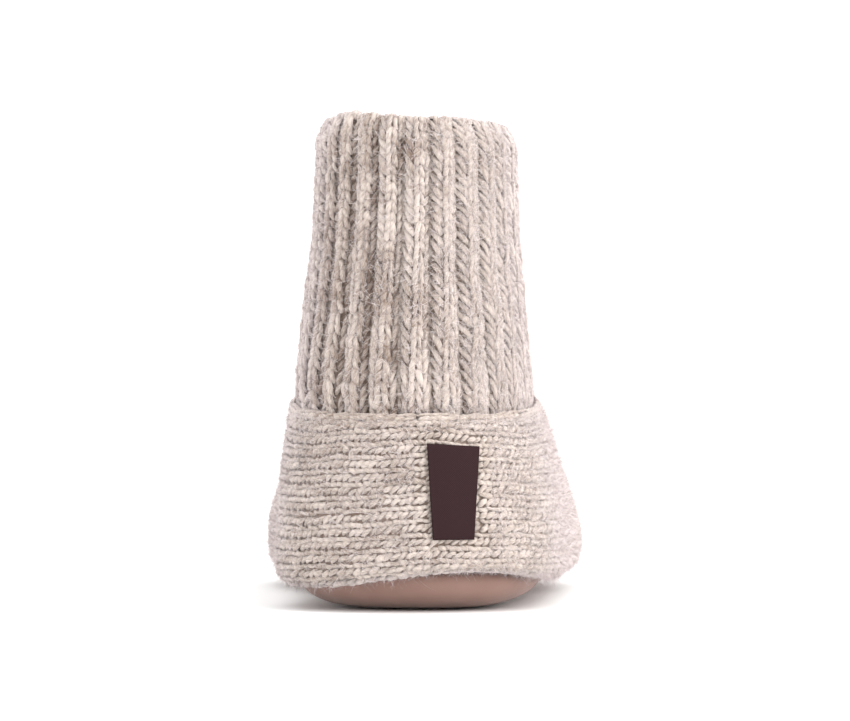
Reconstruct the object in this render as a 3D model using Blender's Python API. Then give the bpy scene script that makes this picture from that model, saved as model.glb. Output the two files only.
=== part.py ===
# A knitted slipper sock for the right foot: a ribbed shaft, a hollow knitted foot part,
# a padded sole, a footbed and a woven label beside the centre-back seam.
# Metres, +Z up. The toe points along +Y and the lateral side is +X. The floor is z = 0.

import math
from collections import namedtuple

import bmesh
import bpy
from mathutils import Vector
from mathutils.bvhtree import BVHTree

OBJECT_NAME = "slipper_sock"

# Driving sizes of the foot part
LENGTH = 0.252
BALL_WIDTH = 0.106
HEEL_WIDTH = 0.0905
WIDEST_HEIGHT = 0.0155
TOPLINE_BACK = 0.059
TOPLINE_FRONT = 0.072
FOOT_WALL = 0.0034
LIP_WALL = 0.0018
EDGE_TUCK = 0.0075

# Driving sizes of the shaft
SHAFT_WIDTH = 0.0755
SHAFT_DEPTH = 0.110
COLLAR_WIDTH = 0.0635
COLLAR_DEPTH = 0.086
COLLAR_HEIGHT = 0.1510
COLLAR_ROLL = 0.003
SHAFT_BACK = 0.0095
COLLAR_BACK = 0.0145
SHAFT_SHIFT = 0.0012
SHAFT_WALL = 0.0026
RIM_ROUND = 0.0009
RIB_DEPTH = 0.0018
RIB_COUNT = 26
NEST_DEPTH = 0.008
NEST_TUCK = 0.0026

# Driving sizes of the sole and the footbed
SOLE_THICKNESS = 0.012
SOLE_ROUND_WIDTH = 0.020
SOLE_ROUND_HEIGHT = 0.008
SOLE_TOP_BEVEL = 0.001
ARCH_RISE = 0.0015
TOE_SPRING = 0.006
HEEL_SPRING = 0.001
INSOLE_THICKNESS = 0.003
INSOLE_BEVEL = 0.0008

# Driving sizes of the label
LABEL_HEIGHT = 0.0296
LABEL_TOP_WIDTH = 0.016
LABEL_FOOT_WIDTH = 0.0126
LABEL_TOP = 0.0516
LABEL_THICKNESS = 0.0008
LABEL_TILT = 0.0012
LABEL_LEAN = 0.0019
SEAM_OFFSET = 0.0027

# The clearance between pieces that touch
GAP = 0.0003

# Stations of the foot from heel to toe. along is a share of LENGTH; toward_ball goes from
# HEEL_WIDTH to BALL_WIDTH, and medial and lateral are shares of the width between them.
# edge_in and edge_out are the knit's lower edge on the medial and the lateral side, as shares
# of SOLE_THICKNESS. turn is the place on the topline where the wall ends, from 0 at the back to
# 1 at the front. run is the share of the way there that the shoulder takes, roof the height of
# the shoulder as a share of the topline's there, and full its roundness, from 1, a straight
# slope, to 3, nearly square.
Station = namedtuple(
    "Station", "along toward_ball medial lateral edge_in edge_out turn run roof full")

STATIONS = (
    Station(0.000, 0.00, 0.000, 0.000, 0.81, 0.81, 0.00, 1.00, 1.00, 1.35),
    Station(0.024, 0.00, 0.290, 0.262, 0.60, 0.92, 0.13, 1.00, 1.00, 1.35),
    Station(0.080, 0.00, 0.452, 0.412, 0.52, 0.80, 0.27, 1.00, 1.00, 1.35),
    Station(0.170, 0.00, 0.515, 0.478, 0.50, 0.70, 0.43, 1.00, 0.99, 1.40),
    Station(0.320, 0.20, 0.470, 0.498, 0.46, 0.52, 0.59, 1.00, 0.93, 1.55),
    Station(0.460, 0.50, 0.452, 0.507, 0.46, 0.46, 0.71, 0.90, 0.78, 1.80),
    Station(0.580, 0.80, 0.472, 0.506, 0.46, 0.46, 0.80, 0.72, 0.64, 2.00),
    Station(0.700, 1.00, 0.499, 0.501, 0.46, 0.46, 0.87, 0.52, 0.56, 2.10),
    Station(0.820, 1.00, 0.469, 0.455, 0.48, 0.48, 0.92, 0.37, 0.53, 2.15),
    Station(0.920, 1.00, 0.374, 0.320, 0.56, 0.56, 0.955, 0.29, 0.53, 2.15),
    Station(0.980, 1.00, 0.230, 0.132, 0.66, 0.66, 0.98, 0.26, 0.53, 2.15),
    Station(1.000, 1.00, 0.065, -0.065, 0.72, 0.72, 1.00, 0.25, 0.53, 2.15),
)

# Steps between two stations, rings below and above the widest line, steps round the sole's
# edge, and the label's grid
STEPS = 3
TUCK_RINGS = 4
WALL_RINGS = 9
ROUND_STEPS = 3
LABEL_ROWS = 6
LABEL_COLUMNS = 5

# Points nearer than this become one, and edges sharper than this stay sharp
MERGE_DISTANCE = 0.00001
SHARP_DEGREES = 50

# How the shaft narrows: rise is a share of the way from the topline to the collar. across and
# ahead are shares of the way from the shaft's width and depth at the topline to the collar's,
# and aside is the share of SHAFT_SHIFT by which the shaft leans to the medial side.
Level = namedtuple("Level", "rise across ahead aside")

FOOT_LEVEL = Level(0.00, 0.00, 0.00, 0.60)
COLLAR_LEVEL = Level(1.00, 1.08, 1.04, 0.20)

LEVELS = (
    FOOT_LEVEL,
    Level(0.07, 0.00, 0.12, 0.90),
    Level(0.15, 0.12, 0.25, 1.00),
    Level(0.30, 0.35, 0.49, 0.90),
    Level(0.44, 0.56, 0.68, 0.60),
    Level(0.56, 0.79, 0.80, 0.40),
    Level(0.76, 0.93, 0.93, 0.30),
    Level(0.96, 1.00, 1.00, 0.20),
)

# Steps by which the length round the shaft is measured
FINE_STEPS = 720

# One rib from valley to valley: the depth at each step as a share of RIB_DEPTH
RIB_PROFILE = (-1.0, -0.12, 0.0, -0.12)

# The floor line along the foot, as shares of LENGTH, and how its toe part curves up
Floor = namedtuple("Floor", "heel_end arch_start arch_end toe_start toe_curve")
FLOOR = Floor(0.09, 0.30, 0.56, 0.80, 1.8)

# The station at the middle of the heel, and those between which the sole's middle line runs
HEEL_STATION = 3
SPINE_FIRST = HEEL_STATION
SPINE_LAST = 9

# How steeply the topline climbs towards the instep, how full the wall stays below its widest
# line before it turns in, and how late it thins to its lip
TOPLINE_CURVE = 1.9
TUCK_FULLNESS = 1.6
LIP_TAPER = 7

# The least share of a profile's rings that go into its shoulder
SHOULDER_SHARE = 0.42


def clear_scene():
    for obj in list(bpy.data.objects):
        bpy.data.objects.remove(obj, do_unlink=True)


def new_collection(name):
    collection = bpy.data.collections.new(name)
    bpy.context.scene.collection.children.link(collection)
    return collection


def new_material(name, color, roughness):
    material = bpy.data.materials.new(name)
    material.use_nodes = True
    shader = material.node_tree.nodes["Principled BSDF"]
    shader.inputs["Base Color"].default_value = (*color, 1.0)
    shader.inputs["Roughness"].default_value = roughness
    shader.inputs["Metallic"].default_value = 0.0
    return material


def mix(a, b, share):
    return a + (b - a) * share


def cubic(p0, p1, p2, p3, t):
    """A smooth curve from p1 to p2 that heads from p0 and towards p3."""
    return 0.5 * (
        2.0 * p1
        + (p2 - p0) * t
        + (2.0 * p0 - 5.0 * p1 + 4.0 * p2 - p3) * t * t
        + (3.0 * p1 - p0 - 3.0 * p2 + p3) * t * t * t
    )


def station_values(station, side):
    """Place and shape values of one station; side is 1 on the lateral side and -1 medially."""
    width = mix(HEEL_WIDTH, BALL_WIDTH, station.toward_ball)
    x = width * (station.lateral if side > 0 else -station.medial)
    y = LENGTH * (station.along - 0.5)
    edge = station.edge_out if side > 0 else station.edge_in
    return (x, y, edge, side * station.turn, station.run, station.roof, station.full)


def past_the_end(values, full_turn):
    """The first station of the other side, carried on past the heel or the toe."""
    return values[:3] + (full_turn + values[3],) + values[4:]


def around_foot():
    """Values at every step round the foot: heel, lateral side, toe, medial side."""
    last = len(STATIONS) - 1
    loop = []
    for side in (1, -1):
        rows = [station_values(row, side) for row in STATIONS]
        before = station_values(STATIONS[1], -side)
        after = past_the_end(station_values(STATIONS[last - 1], -side), 2.0 * side)
        rows = [before] + rows + [after]
        values = []
        for i in range(last):
            for step in range(STEPS):
                t = step / STEPS
                values.append([cubic(*column, t) for column in zip(*rows[i:i + 4])])
        values.append(list(rows[last + 1]))
        loop.append(values)
    lateral, medial = loop
    return lateral + medial[-2:0:-1]


def floor_line(y):
    """Height of the sole's underside at y: arch, toe spring and a slight lift at the heel."""
    along = y / LENGTH + 0.5
    arch_share = (along - FLOOR.arch_start) / (FLOOR.arch_end - FLOOR.arch_start)
    arch = ARCH_RISE * math.sin(math.pi * min(max(arch_share, 0.0), 1.0)) ** 2
    toe_share = max(along - FLOOR.toe_start, 0.0) / (1.0 - FLOOR.toe_start)
    heel_share = max(FLOOR.heel_end - along, 0.0) / FLOOR.heel_end
    toe = TOE_SPRING * toe_share ** FLOOR.toe_curve
    return arch + toe + HEEL_SPRING * heel_share ** 2


def heel_middle():
    """Where the middle of the heel lies across the foot."""
    heel = STATIONS[HEEL_STATION]
    return 0.5 * HEEL_WIDTH * (heel.lateral - heel.medial)


def shaft_ring(level, turn):
    """Point and outward direction on the shaft's outline over its crests, in plan."""
    half_width = 0.5 * mix(SHAFT_WIDTH, COLLAR_WIDTH, level.across)
    half_depth = 0.5 * mix(SHAFT_DEPTH, COLLAR_DEPTH, level.ahead)
    back_y = -0.5 * LENGTH + mix(SHAFT_BACK, COLLAR_BACK, level.ahead)
    angle = math.pi * turn
    middle = heel_middle() - SHAFT_SHIFT * level.aside
    point = Vector((middle + half_width * math.sin(angle),
                    back_y + half_depth * (1.0 - math.cos(angle)), 0.0))
    outward = Vector((math.sin(angle) / half_width, -math.cos(angle) / half_depth, 0.0))
    return point, outward.normalized()


def topline_height(turn):
    """Height of the foot part's upper edge, from the back round to the instep."""
    forward = 0.5 * (1.0 - math.cos(math.pi * turn))
    return mix(TOPLINE_BACK, TOPLINE_FRONT, forward ** TOPLINE_CURVE)


def topline_point(turn):
    """Outer corner of the foot part's upper edge, which laps over the shaft."""
    point, outward = shaft_ring(FOOT_LEVEL, turn)
    point += outward * (GAP + LIP_WALL)
    point.z = topline_height(turn)
    return point


def plan_outline(loop):
    """The widest line in plan, with the outward direction at each point."""
    points = [Vector((values[0], values[1], 0.0)) for values in loop]
    outward = []
    for i, point in enumerate(points):
        along = points[(i + 1) % len(points)] - points[i - 1]
        outward.append(Vector((along.y, -along.x, 0.0)).normalized())
    return points, outward


def foot_profile(values, point, outward):
    """Outer surface at one step round the foot, from the lower edge up to the topline."""
    _, y, edge, turn, run, roof, full = values
    lift = floor_line(y)
    widest = WIDEST_HEIGHT + lift
    low = edge * SOLE_THICKNESS + lift
    profile = []
    for k in range(TUCK_RINGS):
        angle = 0.5 * math.pi * (1.0 - k / TUCK_RINGS)
        tuck = EDGE_TUCK * (1.0 - math.cos(angle)) ** TUCK_FULLNESS
        place = point - outward * tuck
        place.z = mix(widest, low, math.sin(angle))
        profile.append(place)
    top = topline_point(turn)
    shoulder_share = mix(SHOULDER_SHARE, 1.0, run)
    for k in range(WALL_RINGS + 1):
        share = k / WALL_RINGS
        angle = 0.5 * math.pi * min(share / shoulder_share, 1.0)
        climb = math.sin(angle) ** (2.0 / full)
        inward = run * (1.0 - max(math.cos(angle), 0.0) ** (2.0 / full))
        if share > shoulder_share:
            inward = mix(run, 1.0, (share - shoulder_share) / (1.0 - shoulder_share))
        place = point.lerp(Vector((top.x, top.y, 0.0)), inward)
        crown = mix(roof * top.z, top.z, inward)
        place.z = mix(widest, crown, climb)
        profile.append(place)
    return profile


def surface_normals(profiles):
    """Outward unit normals of a grid of profiles that stand side by side round a loop."""
    count = len(profiles)
    normals = []
    for i in range(count):
        ahead = profiles[(i + 1) % count]
        behind = profiles[i - 1]
        row = []
        for k in range(len(profiles[i])):
            above = profiles[i][min(k + 1, len(profiles[i]) - 1)]
            below = profiles[i][max(k - 1, 0)]
            row.append((ahead[k] - behind[k]).cross(above - below).normalized())
        normals.append(row)
    return normals


def loft(name, rings, material, collection, closed=False, capped=False):
    """Joins rings of points into one skin; closed joins the last ring to the first one, and
    capped fills both ends. A ring whose points fall together on a line closes its own end."""
    bm = bmesh.new()
    grid = [[bm.verts.new(point) for point in ring] for ring in rings]
    pairs = list(zip(grid, grid[1:]))
    if closed:
        pairs.append((grid[-1], grid[0]))
    for lower, upper in pairs:
        for i in range(len(lower)):
            j = (i + 1) % len(lower)
            bm.faces.new((lower[i], lower[j], upper[j], upper[i]))
    if capped:
        bm.faces.new(grid[0])
        bm.faces.new(grid[-1])
    bmesh.ops.remove_doubles(bm, verts=bm.verts, dist=MERGE_DISTANCE)
    bmesh.ops.triangulate(bm, faces=bm.faces)
    bmesh.ops.recalc_face_normals(bm, faces=bm.faces)
    mesh = bpy.data.meshes.new(name)
    bm.to_mesh(mesh)
    bm.free()
    mesh.shade_smooth()
    mesh.set_sharp_from_angle(angle=math.radians(SHARP_DEGREES))
    mesh.materials.append(material)
    obj = bpy.data.objects.new(name, mesh)
    collection.objects.link(obj)
    return obj


def make_foot_knit(loop, collection):
    """The hollow foot part: outer skin, then its inner face a wall's thickness inside."""
    points, outward = plan_outline(loop)
    outer = [foot_profile(*station) for station in zip(loop, points, outward)]
    normals = surface_normals(outer)
    inner = []
    for values, profile, row in zip(loop, outer, normals):
        inside = []
        for k, (place, normal) in enumerate(zip(profile, row)):
            thinning = (k / (len(profile) - 1)) ** LIP_TAPER
            inside.append(place - normal * mix(FOOT_WALL, LIP_WALL, thinning))
        lip_direction = shaft_ring(FOOT_LEVEL, values[3])[1]
        inside[0] = profile[0] + Vector((0.0, 0.0, FOOT_WALL))
        inside[-1] = profile[-1] - lip_direction * LIP_WALL
        inner.append(inside)
    rings = list(zip(*outer)) + list(zip(*inner))[::-1]
    material = new_material("foot_wool", (0.62, 0.53, 0.47), 0.95)
    return loft("foot_knit", rings, material, collection, closed=True)


def even_turns(level, count):
    """Turns that divide the shaft's outline at one level into equal lengths."""
    points = [shaft_ring(level, 2.0 * i / FINE_STEPS)[0] for i in range(FINE_STEPS + 1)]
    travelled = [0.0]
    for a, b in zip(points, points[1:]):
        travelled.append(travelled[-1] + (b - a).length)
    turns = []
    i = 0
    for k in range(count):
        target = travelled[-1] * k / count
        while travelled[i + 1] < target:
            i += 1
        share = (target - travelled[i]) / (travelled[i + 1] - travelled[i])
        turns.append(2.0 * (i + share) / FINE_STEPS)
    return turns


def shaft_height(rise, point, turn):
    """Height on the shaft at a share of the way from the topline to the rolled collar."""
    collar = COLLAR_HEIGHT - COLLAR_ROLL * (point.x - heel_middle()) / COLLAR_WIDTH
    return mix(topline_height(turn), collar, rise)


def rib_ring(level, drop, inset):
    """One ribbed ring of the shaft, a drop below its level and an inset inside its crests."""
    steps = len(RIB_PROFILE)
    ring = []
    for k, turn in enumerate(even_turns(level, RIB_COUNT * steps)):
        point, outward = shaft_ring(level, turn)
        valley = RIB_PROFILE[(k + steps // 2) % steps] * RIB_DEPTH
        place = point + outward * (valley - inset)
        place.z = shaft_height(level.rise, point, turn) - drop
        ring.append(place)
    return ring


def make_rib_shaft(collection):
    """The ribbed tube, whose foot is nested inside the topline of the foot part."""
    outer = [rib_ring(FOOT_LEVEL, NEST_DEPTH, NEST_TUCK)]
    outer += [rib_ring(level, 0.0, 0.0) for level in LEVELS]
    outer.append(rib_ring(COLLAR_LEVEL, 0.0, RIM_ROUND))
    inner = [rib_ring(FOOT_LEVEL, NEST_DEPTH, NEST_TUCK + SHAFT_WALL)]
    inner += [rib_ring(level, 0.0, SHAFT_WALL) for level in LEVELS]
    inner.append(rib_ring(COLLAR_LEVEL, 0.0, SHAFT_WALL - RIM_ROUND))
    material = new_material("shaft_wool", (0.58, 0.49, 0.43), 0.95)
    return loft("rib_shaft", outer + inner[::-1], material, collection, closed=True)


def inset_ring(loop, inset, height):
    """The outline moved in by an inset, at a height over the floor line."""
    ring = []
    for point, outward in zip(*plan_outline(loop)):
        place = point - outward * inset
        place.z = height + floor_line(place.y)
        ring.append(place)
    return ring


def spine_ring(loop, height):
    """The middle line of the sole, with one point for each point of the outline."""
    count = len(loop)
    first = SPINE_FIRST * STEPS
    last = SPINE_LAST * STEPS
    ring = []
    for i in range(count):
        step = min(max(min(i, count - i), first), last)
        lateral = loop[step]
        medial = loop[count - step]
        y = lateral[1]
        ring.append(Vector((0.5 * (lateral[0] + medial[0]), y, height + floor_line(y))))
    return ring


def make_outsole(loop, collection):
    """The padded sole: flat on the floor at heel and ball, with a rounded edge."""
    wall = EDGE_TUCK + GAP
    rings = [
        spine_ring(loop, SOLE_THICKNESS),
        inset_ring(loop, wall + SOLE_TOP_BEVEL, SOLE_THICKNESS),
        inset_ring(loop, wall, SOLE_THICKNESS - SOLE_TOP_BEVEL),
    ]
    for step in range(ROUND_STEPS + 1):
        angle = 0.5 * math.pi * step / ROUND_STEPS
        inset = wall + SOLE_ROUND_WIDTH * (1.0 - math.cos(angle))
        rings.append(inset_ring(loop, inset, SOLE_ROUND_HEIGHT * (1.0 - math.sin(angle))))
    rings.append(spine_ring(loop, 0.0))
    material = new_material("sole_suede", (0.38, 0.22, 0.17), 0.7)
    return loft("outsole", rings, material, collection)


def make_insole(loop, collection):
    """The footbed, which lies on the sole inside the foot part."""
    bottom = SOLE_THICKNESS + GAP
    top = bottom + INSOLE_THICKNESS
    inset = EDGE_TUCK + GAP
    rings = [
        spine_ring(loop, bottom),
        inset_ring(loop, inset + INSOLE_BEVEL, bottom),
        inset_ring(loop, inset, top - INSOLE_BEVEL),
        inset_ring(loop, inset + INSOLE_BEVEL, top),
        spine_ring(loop, top),
    ]
    material = new_material("footbed_fleece", (0.55, 0.47, 0.41), 0.95)
    return loft("insole", rings, material, collection)


def label_grid(heel, layer):
    """Points of the label's face that lies a layer's height over the heel."""
    seam_x = heel_middle() + SEAM_OFFSET
    grid = []
    for row in range(LABEL_ROWS + 1):
        down = row / LABEL_ROWS
        width = mix(LABEL_TOP_WIDTH, LABEL_FOOT_WIDTH, down)
        line = []
        for column in range(LABEL_COLUMNS + 1):
            share = column / LABEL_COLUMNS
            height = LABEL_TOP - LABEL_HEIGHT * down - LABEL_TILT * share * (1.0 - down)
            behind = Vector((seam_x + LABEL_LEAN * down + width * share, -LENGTH, height))
            hit, normal, _, _ = heel.ray_cast(behind, Vector((0.0, 1.0, 0.0)))
            line.append(hit + normal * layer)
        grid.append(line)
    return grid


def make_label(foot, collection):
    """The woven label, laid on the heel with its inner edge beside the centre-back seam."""
    bm = bmesh.new()
    bm.from_mesh(foot.data)
    heel = BVHTree.FromBMesh(bm)
    bm.free()
    under = label_grid(heel, GAP)
    over = label_grid(heel, GAP + LABEL_THICKNESS)
    rings = [low + high[::-1] for low, high in zip(under, over)]
    material = new_material("label_weave", (0.075, 0.042, 0.04), 0.8)
    return loft("heel_label", rings, material, collection, capped=True)


def main():
    clear_scene()
    collection = new_collection(OBJECT_NAME)
    loop = around_foot()
    foot = make_foot_knit(loop, collection)
    make_rib_shaft(collection)
    make_outsole(loop, collection)
    make_insole(loop, collection)
    make_label(foot, collection)


main()
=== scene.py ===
import math

import bmesh
import bpy
import numpy as np
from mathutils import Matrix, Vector
from mathutils.bvhtree import BVHTree


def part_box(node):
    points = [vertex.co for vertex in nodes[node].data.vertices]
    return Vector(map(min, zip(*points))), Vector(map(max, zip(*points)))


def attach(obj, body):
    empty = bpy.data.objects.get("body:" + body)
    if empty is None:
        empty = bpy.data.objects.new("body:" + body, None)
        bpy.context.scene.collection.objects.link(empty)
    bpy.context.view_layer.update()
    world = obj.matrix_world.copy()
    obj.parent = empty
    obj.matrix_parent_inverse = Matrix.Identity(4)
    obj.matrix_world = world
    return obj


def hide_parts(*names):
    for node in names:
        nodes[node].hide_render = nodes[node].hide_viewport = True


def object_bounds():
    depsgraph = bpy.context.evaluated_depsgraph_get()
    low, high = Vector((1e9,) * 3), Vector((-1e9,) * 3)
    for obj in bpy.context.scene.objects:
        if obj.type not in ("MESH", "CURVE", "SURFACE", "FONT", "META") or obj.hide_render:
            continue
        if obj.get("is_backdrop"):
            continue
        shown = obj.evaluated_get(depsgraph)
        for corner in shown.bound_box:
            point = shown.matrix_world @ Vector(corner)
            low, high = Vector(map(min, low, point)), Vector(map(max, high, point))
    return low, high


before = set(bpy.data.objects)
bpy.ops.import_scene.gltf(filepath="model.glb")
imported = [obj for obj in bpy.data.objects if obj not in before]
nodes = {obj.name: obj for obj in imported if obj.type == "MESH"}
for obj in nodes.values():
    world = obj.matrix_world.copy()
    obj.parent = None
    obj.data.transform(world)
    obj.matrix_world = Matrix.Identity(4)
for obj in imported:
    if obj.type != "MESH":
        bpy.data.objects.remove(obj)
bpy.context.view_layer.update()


# Foot part: the shape that its knitting follows.
# The knitted fabric hugs a foot-shaped form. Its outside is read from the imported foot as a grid:
# round the foot from the centre back over the outer side, and up from the widest line.
STATION_STEP = 0.0014
HEEL_STEPS, TOE_STEPS = 50, 54
HEEL_X, HEEL_TURN_Y = -0.00165, -0.083
TOE_X, TOE_TURN_Y = -0.0020, 0.078
WIDEST_HEIGHT = 0.0155
TOE_LIFT_FROM, TOE_LIFT = 0.0756, 0.11
CORE_IN, CORE_HEIGHT = 0.022, 0.024
OVERHEAD = 0.13
ROW_STEP = 0.0005
ROWS_BELOW, ROWS_ABOVE = 0.020, 0.112


def tree_of(node):
    mesh = nodes[node].data
    return BVHTree.FromPolygons([v.co for v in mesh.vertices], [p.vertices for p in mesh.polygons])


def smooth(values, sigma, axis, around):
    """Values softened along an axis, which may run right round the piece."""
    reach = int(math.ceil(3.0 * sigma))
    weights = np.exp(-0.5 * (np.arange(-reach, reach + 1) / sigma) ** 2)
    weights /= weights.sum()
    pad = [(0, 0)] * values.ndim
    pad[axis] = (reach, reach)
    padded = np.pad(values, pad, mode="wrap" if around else "edge")
    parts = np.lib.stride_tricks.sliding_window_view(padded, 2 * reach + 1, axis=axis)
    return parts @ weights


def swell(at, centre, reach):
    """A soft swell: 1 at its centre, and falling off over its reach to both sides."""
    return np.exp(-((at - centre) / reach) ** 2)


def from_back(share):
    """A share of the way round, counted from the centre back: -0.5 to 0.5."""
    return np.mod(share + 0.5, 1.0) - 0.5


def run_along(points):
    """Lengths along a line of points, from the first to each."""
    return np.concatenate([[0.0], np.cumsum(np.linalg.norm(np.diff(points, axis=0), axis=1))])


def stretched(at, places, values):
    """Values read along a line that goes on straight past both of its ends."""
    out = np.interp(at, places, values)
    first = (values[3] - values[0]) / (places[3] - places[0])
    last = (values[-1] - values[-4]) / (places[-1] - places[-4])
    out = np.where(at < places[0], values[0] + (at - places[0]) * first, out)
    return np.where(at > places[-1], values[-1] + (at - places[-1]) * last, out)


def section_hit(tree, station, start, end):
    """Where a ray meets a solid in a station's upright section: how far out, and how high."""
    x, y, ox, oy = station
    near, far = [Vector((x + ox * out, y + oy * out, up)) for out, up in (start, end)]
    way = far - near
    place = tree.ray_cast(near, way.normalized(), way.length)[0]
    if place is None:
        return None
    return ((place.x - x) * ox + (place.y - y) * oy, place.z)


def fan_hits(tree, station, core, degrees, reach):
    """Hits of rays that run in to a point of the section from a fan of angles."""
    ways = [(math.cos(angle) * reach, math.sin(angle) * reach) for angle in np.radians(degrees)]
    return [section_hit(tree, station, (core[0] + out, core[1] + up), core) for out, up in ways]


def placed(stations, out, up):
    """Points of upright sections, each section at its own station."""
    return np.stack([stations[:, 0:1] + stations[:, 2:3] * out,
                     stations[:, 1:2] + stations[:, 3:4] * out, up], axis=-1)


foot_tree = tree_of("foot_knit")
foot_low, foot_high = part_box("foot_knit")
label_low, label_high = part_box("heel_label")

half = []
for angle in 0.5 * math.pi * np.arange(HEEL_STEPS) / HEEL_STEPS:
    half.append((HEEL_X, HEEL_TURN_Y, math.sin(angle), -math.cos(angle)))
side_steps = int(round((TOE_TURN_Y - HEEL_TURN_Y) / STATION_STEP))
for share in np.arange(side_steps) / side_steps:
    half.append((HEEL_X + (TOE_X - HEEL_X) * share, HEEL_TURN_Y + (TOE_TURN_Y - HEEL_TURN_Y) * share, 1.0, 0.0))
for angle in 0.5 * math.pi * np.arange(TOE_STEPS + 1) / TOE_STEPS:
    half.append((TOE_X, TOE_TURN_Y, math.cos(angle), math.sin(angle)))
stations = np.array(half + [(x, y, -ox, oy) for x, y, ox, oy in half[-2:0:-1]])
STATION_COUNT = len(stations)


def foot_profile(station):
    """Points up the outside of the foot at one station: how far out, and how high."""
    y, oy = station[1], station[3]
    height = WIDEST_HEIGHT + max(y + oy * 0.045 - TOE_LIFT_FROM, 0.0) * TOE_LIFT
    widest = section_hit(foot_tree, station, (0.09, height), (0.0, height))[0]
    core = (widest - CORE_IN, CORE_HEIGHT)
    found = fan_hits(foot_tree, station, core, np.arange(-72.0, 90.1, 2.0), 0.08)
    for out in np.arange(core[0] - 0.0012, -0.0005, -0.0012):
        found.append(section_hit(foot_tree, station, (out, OVERHEAD), (out, CORE_HEIGHT)))
    if oy > -0.01 and y > -0.006:
        found.append(section_hit(foot_tree, station, (0.0, OVERHEAD), (0.0, CORE_HEIGHT)))
    return np.array([place for place in found if place is not None])


row_places = np.arange(-ROWS_BELOW, ROWS_ABOVE, ROW_STEP)
foot_out, foot_up = np.zeros((2, STATION_COUNT, len(row_places)))
edge_row, last_row = np.zeros((2, STATION_COUNT))
for i, station in enumerate(stations):
    profile = foot_profile(station)
    apart = np.linalg.norm(np.diff(profile, axis=0), axis=1) > 0.00002
    profile = profile[np.concatenate([[True], apart])]
    length = run_along(profile)
    length -= length[np.argmax(profile[:, 0])]
    edge_row[i], last_row[i] = length[0], length[-1]
    foot_out[i] = stretched(row_places, length, profile[:, 0])
    foot_up[i] = stretched(row_places, length, profile[:, 1])
edge_row = smooth(edge_row, 2.0, 0, True)
last_row = smooth(last_row, 1.5, 0, True)
foot_out, foot_up = [smooth(smooth(table, 3.0, 0, True), 3.5, 1, False) for table in (foot_out, foot_up)]
foot_grid = placed(stations, foot_out, foot_up)


def grid_normals(grid):
    """Outward directions on a grid of points that runs round its first axis."""
    around = np.roll(grid, -1, 0) - np.roll(grid, 1, 0)
    normal = np.cross(around, np.gradient(grid, axis=1))
    return normal / np.maximum(np.linalg.norm(normal, axis=-1, keepdims=True), 1e-12)


def read_grid(grid, u, w):
    """Values between the grid's points: u goes round, in stations, and w goes up, in rows."""
    count, rows = grid.shape[:2]
    u = np.mod(u, count)
    w = np.clip(w, 0.0, rows - 1.001)
    i = np.floor(u).astype(int)
    j = np.floor(w).astype(int)
    fu = (u - i)[..., None]
    fw = (w - j)[..., None]
    i = i % count
    after = (i + 1) % count
    low = grid[i, j] * (1.0 - fu) + grid[after, j] * fu
    high = grid[i, j + 1] * (1.0 - fu) + grid[after, j + 1] * fu
    return low * (1.0 - fw) + high * fw


def read_surface(grid, normals, u, w):
    """Points between a grid's own, and the outward directions there."""
    normal = read_grid(normals, u, w)
    return read_grid(grid, u, w), normal / np.linalg.norm(normal, axis=-1, keepdims=True)


foot_normals = grid_normals(foot_grid)

# Creases: share of the way round, height over the widest line, half length, half height, depth
CREASES = (
    (0.30, 0.052, 0.030, 0.0050, -0.0010),
    (0.33, 0.066, 0.034, 0.0060, -0.0012),
    (0.70, 0.055, 0.030, 0.0050, -0.0010),
    (0.67, 0.068, 0.034, 0.0060, -0.0012),
    (0.06, 0.030, 0.012, 0.0050, -0.0006),
    (0.94, 0.020, 0.016, 0.0060, -0.0005),
)
UNEVEN, UNEVEN_WAVES = 0.00030, 7


def foot_surface(u, w):
    """Point and outward direction on the foot part's outside, with its soft creases."""
    place, normal = read_surface(foot_grid, foot_normals, u, (w + ROWS_BELOW) / ROW_STEP)
    relief = UNEVEN * np.sin(w * 260.0 + 1.7 * np.sin(u * 0.05)) * np.sin(
        u * 2.0 * math.pi * UNEVEN_WAVES / STATION_COUNT)
    for share, rise, along, high, depth in CREASES:
        across = from_back(u / STATION_COUNT - share) * STATION_COUNT * STATION_STEP
        relief = relief + depth * swell(across, 0.0, along) * swell(w, rise, high)
    return place + normal * relief[..., None], normal


# Foot part: its knitted wall.
# Behind the stitches lies the rest of the fabric's thickness, the yarn's own backs. It is soft
# marled wool, open at the topline and underneath, and it is knitted in one with the stitches.
# Its colours are darker than the yarn's: painted shade of the gaps between the stitches.
FABRIC_DEPTH = 0.0014
FABRIC_THICKNESS = 0.0017
BACKING_ROWS = 36
PALE_WOOL = (0.665, 0.580, 0.522, 1.0)
DARK_WOOL = (0.225, 0.160, 0.126, 1.0)
SHEEN_TINT = (1.0, 0.93, 0.90, 1.0)
# Pale lilac mixed into the wool's colour where its surface turns edge-on: a painted sheen.
PAINTED_EDGE_SHEEN = (0.72, 0.645, 0.670, 1.0)
# Outer side of the heel, where the wool is rubbed flatter and its colour painted lighter and calmer: painted
# light.
FELT_AND_LIGHT_AT, FELT_AND_LIGHT_REACH = 0.13, 0.10


def fill(tree, node, inputs):
    """Give a node's inputs their values, or link them to the sockets that feed them."""
    for name, value in inputs.items():
        if isinstance(value, bpy.types.NodeSocket):
            tree.links.new(value, node.inputs[name])
        else:
            node.inputs[name].default_value = value


def new_node(tree, kind, inputs, **settings):
    node = tree.nodes.new("ShaderNode" + kind)
    for name, value in settings.items():
        setattr(node, name, value)
    fill(tree, node, inputs)
    return node


def number(tree, operation, *values):
    """The result of a sum on numbers or sockets."""
    return new_node(tree, "Math", dict(enumerate(values)), operation=operation).outputs[0]


def mixed(tree, factor, first, second):
    """A colour between two."""
    return new_node(tree, "Mix", {"Factor": factor, 6: first, 7: second}, data_type="RGBA").outputs[2]


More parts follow.
